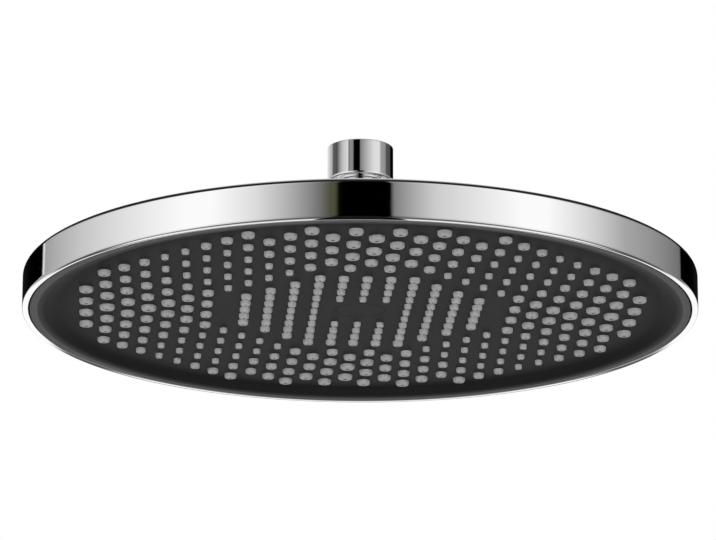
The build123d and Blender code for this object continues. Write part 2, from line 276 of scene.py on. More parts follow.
@dataclass(frozen=True)
class SatinPlate(Finish):
    """Dark ABS moulded against an etched tool: a soft low sheen, with a paler border ring as painted sheen
    and a darker cove as painted shade.
    """

    mottle_size: float = 30.0
    mottle_share: float = 0.08
    relief_size: float = 0.55
    relief_height: float = 0.02
    relief_strength: float = 0.5
    roughness: float = 0.5
    sheen: float = 0.02
    # Painted shade and sheen as tone by millimetres from the middle: the flat, darkening into the cove at
    # its edge as painted shade, the round, and the border ring paler as painted sheen
    painted_shade_and_sheen_tones: Stops = (
        (107.0, "#2a2a2b"), (115.0, "#1c1c1d"), (121.3, "#1b1b1c"),
        (122.7, "#333334"), (123.8, "#38383a"), (124.4, "#58585a"),
    )
    reach: float = 130.0

    def dress(self, tree: Tree, shader: Node, place: Socket) -> None:
        """Adds the painted shade and sheen by radius, a slight mottle and the etched grain."""
        shader.inputs["Specular IOR Level"].default_value = self.sheen
        shader.inputs["Roughness"].default_value = self.roughness
        flat: Settings = {"operation": "MULTIPLY", 1: (1.0, 1.0, 0.0)}
        across = add_node(tree, "VectorMath", flat, {0: place})
        radius = add_node(tree, "VectorMath", {"operation": "LENGTH"}, {0: across.outputs["Vector"]})
        far: Settings = {"From Max": self.reach * MM}
        share = add_node(tree, "MapRange", far, {"Value": radius.outputs["Value"]})
        # Painted shade in the cove and painted sheen on the border ring, set into the base colour by radius
        tone = add_node(tree, "ValToRGB", links={"Fac": share.outputs["Result"]})
        set_ramp(tone.color_ramp, tuple((at / self.reach, colour) for at, colour in self.painted_shade_and_sheen_tones))
        spread: Settings = {"To Min": 1.0 - self.mottle_share, "To Max": 1.0 + self.mottle_share}
        uneven = add_node(tree, "MapRange", spread, {"Value": self.mottle(tree, place)})
        links = {0: tone.outputs["Color"], "Scale": uneven.outputs["Result"]}
        shaded = add_node(tree, "VectorMath", {"operation": "SCALE"}, links)
        tree.links.new(shaded.outputs["Vector"], shader.inputs["Base Color"])
        self.add_relief(tree, shader, place)


@dataclass(frozen=True)
class Moulded(Finish):
    """Moulded rubber, silicone or plastic: a matt skin with a fine tool grain and a slight mottle."""

    second_colour: str = "#000000"
    roughness: float = 0.6

    def dress(self, tree: Tree, shader: Node, place: Socket) -> None:
        """Adds the mottle to the colour and the grain to the normal."""
        shader.inputs["Roughness"].default_value = self.roughness
        colours: Settings = {"data_type": "RGBA"}
        colours |= {FIRST: to_linear(self.colour), SECOND: to_linear(self.second_colour)}
        tone = add_node(tree, "Mix", colours, {0: self.mottle(tree, place)})
        tree.links.new(tone.outputs[MIXED], shader.inputs["Base Color"])
        self.add_relief(tree, shader, place)


@dataclass(frozen=True)
class Silicone(Moulded):
    """Silicone of the nozzles: the moulded skin, with painted shade inside each outlet."""

    # Painted shade: a darker colour for the outlet's pit, where shade falls
    outlet_painted_shade: str = "#484848"

    def dress(self, tree: Tree, shader: Node, place: Socket) -> None:
        """Paints shade on the skin where the mesh marks an outlet."""
        super().dress(tree, shader, place)
        skin = shader.inputs["Base Color"].links[0].from_socket
        outlet = add_node(tree, "Attribute", {"attribute_name": OUTLET_MARK})
        shade: Settings = {"data_type": "RGBA", SECOND: to_linear(self.outlet_painted_shade)}
        tone = add_node(tree, "Mix", shade, {0: outlet.outputs["Fac"], FIRST: skin})
        tree.links.new(tone.outputs[MIXED], shader.inputs["Base Color"])


FINISHES: dict[Slot, Finish] = {
    # Chromium on turned and polished brass: the clearest mirror on the part
    Slot.CHROME: ChromePlate("chrome_plated_brass", "#fafafb", relief_height=0.0008),
    # Chromium on moulded ABS: the same mirror with a little more ripple
    Slot.CHROME_SHELL: ChromePlate("chrome_plated_abs", "#fafafb"),
    # Dark ABS with an etched satin skin, which keeps its sheen soft
    Slot.FACE: SatinPlate("satin_moulded_abs", "#2c2c2d"),
    # Grey silicone rubber: pale, matt and a little uneven
    Slot.NOZZLE: Silicone("moulded_grey_silicone", "#8f8f90", second_colour="#9b9b9b", roughness=0.5),
    # Black nitrile rubber of the washers and rings
    Slot.SEAL: Moulded("moulded_black_rubber", "#161616", second_colour="#1f1f1f", roughness=0.7),
    # Black acetal of the inner pieces, smoother than the rubber
    Slot.INNER_PLASTIC: Moulded("moulded_black_acetal", "#1c1c1e", second_colour="#242426", roughness=0.38),
    # Stainless steel of the screws, the snap ring and the filter
    Slot.STEEL: Stainless("rolled_stainless_steel", "#b9b9ba"),
}


@dataclass(frozen=True)
class Corner:
    """Corner of a turned outline, with the radius of its rounding."""

    radius: float
    height: float
    rounding: float = 0.0

    @property
    def place(self) -> Vector:
        """Place in the outline's plane."""
        return Vector((self.radius, self.height))


def arc_points(centre: Point, radius: float, start: float, end: float, steps: int) -> list[Point]:
    """Points on an arc of an outline.

    Args:
        centre: its centre as radius and height.
        radius: its radius.
        start: first angle in radians, from the outward direction.
        end: last angle in radians.
        steps: number of chords.

    Returns:
        The points, both ends included.
    """
    angles = [start + (end - start) * i / steps for i in range(steps + 1)]
    return [(centre[0] + radius * math.cos(a), centre[1] + radius * math.sin(a)) for a in angles]


def rounded(corners: list[Corner], closed: bool = True) -> list[Point]:
    """Rounds the corners of an outline.

    Args:
        corners: its corners in order.
        closed: whether the last corner joins the first.

    Returns:
        The points of the rounded outline.
    """
    points: list[Point] = []
    for index, corner in enumerate(corners):
        at_end = not closed and index in (0, len(corners) - 1)
        if corner.rounding == 0 or at_end:
            points.append((corner.radius, corner.height))
            continue
        before = (corners[index - 1].place - corner.place).normalized()
        after = (corners[(index + 1) % len(corners)].place - corner.place).normalized()
        half = before.angle(after) / 2
        setback = corner.rounding / math.tan(half)
        first = corner.place + before * setback
        last = corner.place + after * setback
        middle = corner.place + (before + after).normalized() * corner.rounding / math.sin(half)
        start = math.atan2(first.y - middle.y, first.x - middle.x)
        sweep = math.remainder(math.atan2(last.y - middle.y, last.x - middle.x) - start, math.tau)
        steps = max(FEWEST_CHORDS, round(abs(sweep) / ARC_STEP))
        points += arc_points((middle.x, middle.y), corner.rounding, start, start + sweep, steps)
    return points


def deselect_all() -> None:
    """Leaves nothing selected."""
    bpy.ops.object.select_all(action="DESELECT")


def draw_outline(name: str, points: list[Point], closed: bool) -> Piece:
    """Draws an outline in the plane of X and Z by extruding one vertex, and stays in edit mode.

    Args:
        name: name of the new piece.
        points: radius and height of each point.
        closed: whether the last point joins the first.

    Returns:
        The new piece.
    """
    deselect_all()
    bpy.ops.mesh.primitive_plane_add(size=MM)
    piece = bpy.context.object
    piece.name = piece.data.name = name
    bpy.ops.object.mode_set(mode="EDIT")
    bpy.ops.mesh.merge(type="CENTER")
    path = [Vector((radius, 0, height)) * MM for radius, height in points]
    if closed:
        path.append(path[0])
    bpy.ops.transform.translate(value=path[0])
    for here, there in zip(path, path[1:]):
        bpy.ops.mesh.extrude_vertices_move(TRANSFORM_OT_translate={"value": there - here})
    bpy.ops.mesh.select_all(action="SELECT")
    bpy.ops.mesh.remove_doubles(threshold=WELD)
    return piece


def close_mesh() -> None:
    """Merges doubles, turns the faces outwards and goes back to object mode with smooth shading."""
    bpy.ops.mesh.select_all(action="SELECT")
    bpy.ops.mesh.remove_doubles(threshold=WELD)
    bpy.ops.mesh.normals_make_consistent(inside=False)
    bpy.ops.object.mode_set(mode="OBJECT")
    bpy.ops.object.shade_smooth_by_angle(angle=SMOOTH_ANGLE)


def turn(name: str, points: list[Point], segments: int, closed: bool = True) -> Piece:
    """Turns an outline into a round piece, as on a lathe.

    Args:
        name: name of the new piece.
        points: outline as radius and height.
        segments: number of faces round the axis.
        closed: False for an outline that starts and ends on the axis.

    Returns:
        The new piece.
    """
    piece = draw_outline(name, points, closed)
    bpy.ops.mesh.spin(steps=segments, angle=math.tau, center=(0, 0, 0), axis=(0, 0, 1))
    close_mesh()
    return piece


def coat(piece: Piece, slot: Slot) -> None:
    """Gives a piece the finish of its slot and no other."""
    piece.data.materials.clear()
    piece.data.materials.append(material_of(FINISHES[slot]))


def finish_piece(piece: Piece, body: Body, slot: Slot, *nodes: str) -> None:
    """Dresses a piece, ties it to its body and lets it stand for CAD nodes.

    Args:
        piece: the finished mesh.
        body: body that carries it.
        slot: record slot of its finish.
        nodes: CAD nodes that it stands for.
    """
    deselect_all()
    piece.select_set(True)
    bpy.context.view_layer.objects.active = piece
    weigh = piece.modifiers.new("weigh", "WEIGHTED_NORMAL")
    weigh.keep_sharp = True
    bpy.ops.object.modifier_apply(modifier=weigh.name)
    coat(piece, slot)
    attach(piece, body.value)
    if nodes:
        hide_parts(*nodes)
    log.info("%s: %d faces on %s", piece.name, len(piece.data.polygons), body.value)


@dataclass
class Shell:
    """Chromed shell: an upright rim with a half-round lip, a rounded shoulder and a low dome."""

    rim_radius: float = 130.0
    inside_radius: float = 127.35
    lip_height: float = -68.889
    lip_round: float = 1.32
    rim_top: float = -53.189
    top_round: float = 2.4
    seat_radius: float = 25.0
    bore_radius: float = 15.1
    dome_top: float = -41.589
    wall: float = 2.5
    segments: int = 384
    dome_steps: int = 26
    shoulder_steps: int = 14

    def dome(self, out_to: float, depth: float) -> list[Point]:
        """Points of the dome's arc from its seat outwards.

        Args:
            out_to: radius at which the arc ends.
            depth: how far the arc lies under the outside.

        Returns:
            The points as radius and height.
        """
        reach = self.rim_radius - self.top_round - self.seat_radius
        rise = self.dome_top - self.rim_top
        arc_radius = (reach**2 + rise**2) / (2 * rise) - depth
        centre = (self.seat_radius, self.dome_top - depth - arc_radius)
        end = math.acos((out_to - self.seat_radius) / arc_radius)
        return arc_points(centre, arc_radius, math.pi / 2, end, self.dome_steps)

    def dress(self) -> None:
        """Turns the shell and puts it on the head."""
        under = self.dome(self.inside_radius - self.top_round, self.wall)
        corners = [
            Corner(self.bore_radius, self.dome_top),
            Corner(self.bore_radius, self.dome_top - self.wall),
            *(Corner(*point) for point in under),
            Corner(self.inside_radius, under[-1][1] - self.top_round),
            Corner(self.inside_radius, self.lip_height, self.lip_round),
            Corner(self.rim_radius, self.lip_height, self.lip_round),
            Corner(self.rim_radius, self.rim_top - self.top_round),
        ]
        shoulder_centre = (self.rim_radius - self.top_round, self.rim_top - self.top_round)
        outline = rounded(corners)
        outline += arc_points(shoulder_centre, self.top_round, 0.0, math.pi / 2, self.shoulder_steps)[1:-1]
        outline += reversed(self.dome(self.rim_radius - self.top_round, 0.0))
        piece = turn("shell_chrome", outline, self.segments)
        finish_piece(piece, Body.HEAD, Slot.CHROME_SHELL, "shell")


@dataclass
class FacePlate:
    """Satin face: a flat border ring, a rounded step and a recessed flat with a cap in its middle."""

    radius: float = 127.05
    edge_round: float = 0.3
    ring_width: float = 3.2
    step_width: float = 8.55
    face_height: float = -68.389
    flat_height: float = -65.639
    top_height: float = -63.039
    step_ease: float = 0.5
    step_points: int = 18
    pocket_radius: float = 9.55
    pocket_round: float = 0.2
    cap_radius: float = 9.5
    cap_depth: float = 1.2
    flat_middle: float = 60.0
    hole_radius: float = 5.0
    segments: int = 320
    cap_segments: int = 96

    def step(self) -> list[Corner]:
        """Points of the rounded step, from the border ring in to the flat.

        Returns:
            Unrounded corners on the step's curve.
        """
        outer = self.radius - self.ring_width
        corners = []
        for index in range(self.step_points + 1):
            t = index / self.step_points
            ease = t * t * (3 - 2 * t)
            across = 3 * self.step_ease * t * (1 - t) + t**3
            height = self.face_height + (self.flat_height - self.face_height) * ease
            corners.append(Corner(outer - self.step_width * across, height))
        return corners

    def build_plate(self) -> None:
        """Turns the face plate, with the pocket of its cap."""
        pocket_floor = self.flat_height + self.cap_depth
        corners = [
            Corner(self.radius, self.top_height),
            Corner(self.radius, self.face_height, self.edge_round),
            *self.step(),
            Corner(self.flat_middle, self.flat_height),
            Corner(self.pocket_radius, self.flat_height, self.pocket_round),
            Corner(self.pocket_radius, pocket_floor),
            Corner(self.hole_radius, pocket_floor),
            Corner(self.hole_radius, self.top_height),
        ]
        piece = turn("face_plate_satin", rounded(corners), self.segments)
        finish_piece(piece, Body.HEAD, Slot.FACE, "face_plate")

    def build_cap(self) -> None:
        """Turns the flush cap in the middle of the face."""
        top = self.flat_height + self.cap_depth
        corners = [
            Corner(0.0, top),
            Corner(self.cap_radius, top),
            Corner(self.cap_radius, self.flat_height, self.pocket_round),
            Corner(0.0, self.flat_height),
        ]
        piece = turn("centre_cap_satin", rounded(corners, closed=False), self.cap_segments, closed=False)
        finish_piece(piece, Body.HEAD, Slot.FACE, "centre_cap")

    def dress(self) -> None:
        """Builds the plate and its cap and puts them on the head."""
        self.build_plate()
        self.build_cap()


@dataclass
class SprayField:
    """Silicone nozzles: a square grid round the cap, and a diagonal grid of graded sizes around it."""

    seat_height: float = -65.639
    height: float = 1.8
    pattern_turn: float = 3.575
    inner_pitch: float = 8.9
    inner_least: float = 13.4
    inner_most: float = 49.0
    inner_first_diameter: float = 1.95
    inner_growth: float = 0.39
    outer_least: float = 56.0
    outer_most: float = 111.0
    fine_half_pitch: float = 7.4
    coarse_half_pitch: float = 8.0
    fine_lines: int = 11
    last_line: int = 19
    corner_line: int = 13
    small_diameter: float = 2.9
    graded_diameter: float = 3.4
    grade_step: float = 0.5
    highest_grade: int = 4
    graded_from: int = 3
    inner_edge_from: int = 5
    outlet_share: float = 0.24
    sides: int = 12

    def line_offset(self, index: int) -> float:
        """Distance of a diagonal grid line from the middle."""
        fine = self.fine_half_pitch * min(abs(index), self.fine_lines)
        coarse = self.coarse_half_pitch * max(abs(index) - self.fine_lines, 0)
        return math.copysign(fine + coarse, index)

    def outer_diameter(self, first: int, second: int) -> float:
        """Diameter of an outer nozzle.

        Args:
            first: index of its grid line one way.
            second: index of its grid line the other way.

        Returns:
            The small size along the grid's axes, and a larger one between them.
        """
        low, high = sorted((abs(first), abs(second)))
        grade = min(max((low - self.graded_from) // 2, 0), self.highest_grade)
        on_last_line = high == self.last_line and low >= self.graded_from
        on_first_line = high == self.fine_lines and low >= self.inner_edge_from
        if on_last_line or on_first_line or low == high == self.corner_line:
            grade += 1
        return self.graded_diameter + self.grade_step * grade if grade else self.small_diameter

    def places(self) -> Iterator[tuple[float, float, float]]:
        """Gives every nozzle's place across and along the grid, and its diameter."""
        reach = int(self.inner_most / self.inner_pitch)
        for column in range(-reach, reach + 1):
            for row in range(-reach, reach + 1):
                steps = math.hypot(column, row)
                if self.inner_least < steps * self.inner_pitch < self.inner_most:
                    diameter = self.inner_first_diameter + self.inner_growth * steps
                    yield column * self.inner_pitch, row * self.inner_pitch, diameter
        lines = range(-self.last_line, self.last_line + 1, 2)
        for first in lines:
            for second in lines:
                across = (self.line_offset(first) + self.line_offset(second)) / 2
                along = (self.line_offset(first) - self.line_offset(second)) / 2
                if self.outer_least < math.hypot(across, along) < self.outer_most:
                    yield across, along, self.outer_diameter(first, second)

    def build_nozzle(self) -> Piece:
        """Turns one nozzle of radius one millimetre under the origin, with its outlet.

        Returns:
            The pattern that all nozzles are copied from.
        """
        # Straight sides, a rounded tip and the pit of the outlet
        outline = [
            (0.0, 0.0),
            (1.0, 0.0),
            (0.97, -0.7 * self.height),
            (0.86, -0.92 * self.height),
            (0.66, -self.height),
            (self.outlet_share, -self.height),
            (0.0, -0.6 * self.height),
        ]
        pattern = turn("nozzle_pattern", outline, self.sides, closed=False)
        # Marks the faces of the outlet's pit, which the silicone finish darkens as painted shade
        marks = pattern.data.attributes.new(OUTLET_MARK, "FLOAT", "FACE")
        for face, mark in zip(pattern.data.polygons, marks.data):
            in_outlet = face.center.xy.length < self.outlet_share * MM
            mark.value = float(in_outlet and face.center.z < -self.height / 2 * MM)
        return pattern

    def dress(self) -> None:
        """Copies the nozzle to every place, joins the copies and puts them on the head."""
        pattern = self.build_nozzle()
        grid_turn = Matrix.Rotation(math.radians(self.pattern_turn), 4, "Z")
        copies = []
        for across, along, diameter in self.places():
            copy = pattern.copy()
            copy.data = pattern.data.copy()
            seat = Matrix.Translation(Vector((across, along, self.seat_height)) * MM)
            copy.data.transform(grid_turn @ seat @ Matrix.Diagonal((diameter / 2, diameter / 2, 1.0, 1.0)))
            bpy.context.collection.objects.link(copy)
            copies.append(copy)
        bpy.data.objects.remove(pattern)
        deselect_all()
        for copy in copies:
            copy.select_set(True)
        bpy.context.view_layer.objects.active = copies[0]
        bpy.ops.object.join()
        copies[0].name = copies[0].data.name = "spray_nozzles_silicone"
        log.info("nozzles: %d copies", len(copies))
        finish_piece(copies[0], Body.HEAD, Slot.NOZZLE, "spray_nozzles")


@dataclass
class UnionNut:
    """Round chromed nut with a pipe thread inside."""

    radius: float = 12.8
    foot: float = -14.2
    top_round: float = 0.6
    foot_round: float = 1.5
    thread_crest: float = 9.32
    thread_root: float = 10.4
    thread_end: float = -9.0
    pitch: float = 1.814
    mouth_chamfer: float = 0.7
    lip_top: float = -13.0
    lip_radius: float = 7.9
    mouth_round: float = 0.12
    lip_round: float = 0.15
    ridge_sink: float = 0.15
    crest_round: float = 0.04
    ridge_start: float = 0.4
    base_share: float = 0.48
    flank_share: float = 0.45
    crest_share: float = 0.1
    segments: int = 160
    thread_steps: int = 64
    thread_turns: int = 4

    def build_nut(self) -> None:
        """Turns the nut, with a bore at the thread's root."""
        corners = [
            Corner(self.radius, 0.0, self.top_round),
            Corner(self.thread_root + self.mouth_chamfer / 2, 0.0, self.mouth_round),
            Corner(self.thread_root, -self.mouth_chamfer, self.mouth_round),
            Corner(self.thread_root, self.lip_top),
            Corner(self.lip_radius, self.lip_top, self.lip_round),
            Corner(self.lip_radius, self.foot, self.lip_round),
            Corner(self.radius, self.foot, self.foot_round),
        ]
        piece = turn("union_nut_chrome", rounded(corners), self.segments)
        finish_piece(piece, Body.CONNECTOR, Slot.CHROME, "union_nut")

    def build_thread(self) -> None:
        """Winds the thread's ridge up the bore and closes both its ends."""
        start = self.thread_end + self.ridge_start * self.pitch
        base, flank, crest = (
            share * self.pitch for share in (self.base_share, self.flank_share, self.crest_share)
        )
        sunk = self.thread_root + self.ridge_sink
        shoulder = self.thread_crest + self.crest_round
        ridge = [
            (sunk, start - base),
            (sunk, start + base),
            (self.thread_root, start + flank),
            (shoulder, start + crest),
            (self.thread_crest, start),
            (shoulder, start - crest),
            (self.thread_root, start - flank),
        ]
        piece = draw_outline("inlet_thread_chrome", ridge, closed=True)
        bpy.ops.object.mode_set(mode="OBJECT")
        winding = piece.modifiers.new("winding", "SCREW")
        winding.axis = "Z"
        winding.angle = math.tau
        winding.screw_offset = self.pitch * MM
        winding.iterations = self.thread_turns
        winding.steps = winding.render_steps = self.thread_steps
        winding.use_merge_vertices = False
        bpy.ops.object.modifier_apply(modifier=winding.name)
        bpy.ops.object.mode_set(mode="EDIT")
        bpy.ops.mesh.select_all(action="SELECT")
        bpy.ops.mesh.fill_holes(sides=0)
        close_mesh()
        finish_piece(piece, Body.CONNECTOR, Slot.CHROME)

    def dress(self) -> None:
        """Builds the nut and its thread and puts them on the connector."""
        self.build_nut()
        self.build_thread()


@dataclass
class BallTail:
    """Chromed tail under the nut: a spigot in it, a shoulder, a neck and the ball."""

    spigot_radius: float = 7.75
    spigot_top: float = -11.2
    groove_radius: float = 6.65
    groove_top: float = -11.7
    groove_foot: float = -12.95
    shoulder_radius: float = 8.8
    shoulder_top: float = -14.4
    shoulder_foot: float = -16.9
    shoulder_round: float = 0.6
    shoulder_edge: float = 0.3
    spigot_edge: float = 0.2
    neck_radius: float = 5.6
    neck_fillet: float = 0.5
    ball_radius: float = 10.0
    ball_height: float = -29.389
    ball_foot_radius: float = 4.6
    bore_radius: float = 3.8
    pocket_radius: float = 5.05
    pocket_floor: float = -15.6
    ball_steps: int = 30
    segments: int = 128

    def dress(self) -> None:
        """Turns the tail with its ball and water way and puts it on its body."""
        top_angle = math.acos(self.neck_radius / self.ball_radius)
        foot_angle = -math.acos(self.ball_foot_radius / self.ball_radius)
        ball = arc_points((0.0, self.ball_height), self.ball_radius, foot_angle, top_angle, self.ball_steps)
        corners = [Corner(radius, height) for radius, height in ball]
        corners += [
            Corner(self.neck_radius, self.shoulder_foot, self.neck_fillet),
            Corner(self.shoulder_radius, self.shoulder_foot, self.shoulder_round),
            Corner(self.shoulder_radius, self.shoulder_top, self.shoulder_edge),
            Corner(self.spigot_radius, self.shoulder_top),
            Corner(self.spigot_radius, self.groove_foot),
            Corner(self.groove_radius, self.groove_foot),
            Corner(self.groove_radius, self.groove_top),
            Corner(self.spigot_radius, self.groove_top),
            Corner(self.spigot_radius, self.spigot_top, self.spigot_edge),
            Corner(self.pocket_radius, self.spigot_top, self.spigot_edge),
            Corner(self.pocket_radius, self.pocket_floor),
            Corner(self.bore_radius, self.pocket_floor),
            Corner(self.bore_radius, ball[0][1]),
        ]
        piece = turn("ball_tail_chrome", rounded(corners), self.segments)
        finish_piece(piece, Body.TAIL, Slot.CHROME, "ball_tail")


@dataclass
class InletStack:
    """Rubber washer and filter at the bottom of the thread."""

    washer_bore: float = 5.35
    washer_radius: float = 9.12
    washer_foot: float = -11.2
    washer_top: float = -9.2
    washer_round: float = 0.35
    brim_radius: float = 5.3
    brim_top: float = -10.7
    basket_radius: float = 4.5
    basket_floor: float = -12.2
    sheet: float = 0.5
    gauze_pitch: float = 0.72
    gauze_wire: float = 0.2
    floor_ring: float = 0.4
    fold_round: float = 0.1
    basket_round: float = 0.3
    brim_round: float = 0.15
    mouth_round: float = 0.2
    segments: int = 96

    def build_washer(self) -> None:
        """Turns the flat rubber washer."""
        corners = [
            Corner(self.washer_bore, self.washer_foot, self.washer_round),
            Corner(self.washer_radius, self.washer_foot, self.washer_round),
            Corner(self.washer_radius, self.washer_top, self.washer_round),
            Corner(self.washer_bore, self.washer_top, self.washer_round),
        ]
        piece = turn("inlet_washer_rubber", rounded(corners), self.segments)
        finish_piece(piece, Body.TAIL, Slot.SEAL, "inlet_washer")

    def build_frame(self) -> None:
        """Turns the filter's brim and basket wall, which hold the gauze."""
        inside = self.basket_radius - self.sheet
        brim_foot = self.brim_top - self.sheet
        floor_top = self.basket_floor + self.sheet
        corners = [
            Corner(inside - self.floor_ring, self.basket_floor, self.fold_round),
            Corner(self.basket_radius, self.basket_floor, self.basket_round),
            Corner(self.basket_radius, brim_foot, self.fold_round),
            Corner(self.brim_radius, brim_foot, self.fold_round),
            Corner(self.brim_radius, self.brim_top, self.brim_round),
            Corner(inside, self.brim_top, self.mouth_round),
            Corner(inside, floor_top, self.brim_round),
            Corner(inside - self.floor_ring, floor_top, self.fold_round),
        ]
        piece = turn("filter_frame_steel", rounded(corners), self.segments)
        finish_piece(piece, Body.TAIL, Slot.STEEL, "filter_screen")

    def build_gauze(self) -> None:
        """Makes the gauze across the basket's floor from a grid cut round and turned into wires."""
        reach = self.basket_radius - self.sheet
        count = math.ceil(2 * reach / self.gauze_pitch)
        middle = Vector((0, 0, self.basket_floor + self.sheet / 2)) * MM
        deselect_all()
        bpy.ops.mesh.primitive_grid_add(
            x_subdivisions=count, y_subdivisions=count, size=count * self.gauze_pitch * MM, location=middle
        )
        piece = bpy.context.object
        piece.name = piece.data.name = "filter_gauze_steel"
        bpy.ops.object.transform_apply(location=True, rotation=True, scale=True)
        bpy.ops.object.mode_set(mode="EDIT")
        bpy.ops.mesh.select_mode(type="FACE")
        bpy.ops.mesh.select_all(action="DESELECT")
        bpy.ops.object.mode_set(mode="OBJECT")
        for face in piece.data.polygons:
            face.select = face.center.xy.length > reach * MM
        bpy.ops.object.mode_set(mode="EDIT")
        bpy.ops.mesh.delete(type="FACE")
        bpy.ops.mesh.select_mode(type="VERT")
        bpy.ops.object.mode_set(mode="OBJECT")
        wires = piece.modifiers.new("wires", "WIREFRAME")
        wires.thickness = self.gauze_wire * MM
        bpy.ops.object.modifier_apply(modifier=wires.name)
        finish_piece(piece, Body.TAIL, Slot.STEEL)

    def dress(self) -> None:
        """Builds the washer and the filter and puts them on the tail."""
        self.build_washer()
        self.build_frame()
        self.build_gauze()


@dataclass
class BallSocket:
    """Outside of the ball joint: the collar, and the ring nut and washer that clamp the shell."""

    collar_radius: float = 17.7
    collar_foot: float = -36.189
    collar_top: float = -20.55
    collar_round: float = 1.6
    mouth_radius: float = 8.64
    throat_radius: float = 7.94
    throat_height: float = -23.05
    ring_space: float = 12.05
    stem_step: float = -26.689
    stem_radius: float = 15.1
    nut_radius: float = 21.1
    nut_foot: float = -40.589
    nut_top: float = -36.389
    nut_round: float = 1.2
    washer_radius: float = 20.3
    washer_foot: float = -41.589
    foot_round: float = 0.4
    edge_round: float = 0.3
    washer_round: float = 0.2
    segments: int = 160
    washer_segments: int = 128

    def build_collar(self) -> None:
        """Turns the collar that closes the socket over the ball."""
        corners = [
            Corner(self.stem_radius, self.collar_foot),
            Corner(self.collar_radius, self.collar_foot, self.foot_round),
            Corner(self.collar_radius, self.collar_top, self.collar_round),
            Corner(self.mouth_radius, self.collar_top, self.edge_round),
            Corner(self.throat_radius, self.throat_height),
            Corner(self.ring_space, self.throat_height),
            Corner(self.ring_space, self.stem_step),
            Corner(self.stem_radius, self.stem_step),
        ]
        piece = turn("retaining_collar_chrome", rounded(corners), self.segments)
        finish_piece(piece, Body.HEAD, Slot.CHROME, "retaining_collar")

    def build_nut(self) -> None:
        """Turns the ring nut on the shell's seat."""
        corners = [
            Corner(self.stem_radius, self.nut_foot),
            Corner(self.nut_radius, self.nut_foot, self.edge_round),
            Corner(self.nut_radius, self.nut_top, self.nut_round),
            Corner(self.stem_radius, self.nut_top),
        ]
        piece = turn("shell_nut_chrome", rounded(corners), self.segments)
        finish_piece(piece, Body.HEAD, Slot.CHROME, "shell_nut")

    def build_washer(self) -> None:
        """Turns the rubber washer under the ring nut."""
        corners = [
            Corner(self.stem_radius, self.washer_foot),
            Corner(self.washer_radius, self.washer_foot, self.washer_round),
            Corner(self.washer_radius, self.nut_foot, self.washer_round),
            Corner(self.stem_radius, self.nut_foot),
        ]
        piece = turn("shell_washer_rubber", rounded(corners), self.washer_segments)
        finish_piece(piece, Body.HEAD, Slot.SEAL, "shell_washer")

    def dress(self) -> None:
        """Builds the three rings and puts them on the head."""
        self.build_collar()
        self.build_nut()
        self.build_washer()


@dataclass
class InnerPieces:
    """CAD pieces inside the head and the tail, which keep their own meshes."""

    def dress(self) -> None:
        """Gives every node that still shows the finish of its record slot."""
        for part in frame["record"]["subparts"]:
            node = frame["nodes"][part["node"]]
            if node.hide_render:
                continue
            slot = Slot(part["material_slot"])
            coat(node, slot)
            log.info("%s: CAD mesh in %s", node.name, FINISHES[slot].name)


def direction_of(azimuth: float, rise: float) -> Vector:
    """Finds a direction from two angles.

    Args:
        azimuth: degrees from along Y towards along X.
        rise: degrees over the horizon.

    Returns:
        The unit vector.
    """
    level, up = math.radians(azimuth), math.radians(rise)
    return Vector((math.sin(level) * math.cos(up), math.cos(level) * math.cos(up), math.sin(up)))


@dataclass(frozen=True)
class Layer:
    """Layer of the light tent: the degrees over which it fades in, and its light, plain or all round."""

    start: float
    end: float
    light: Union[str, Stops]


@dataclass(frozen=True)
class Card:
    """Level card: its width, its near and far edges along Y, its height and its colour."""

    width: float
    near: float
    far: float
    height: float
    colour: str


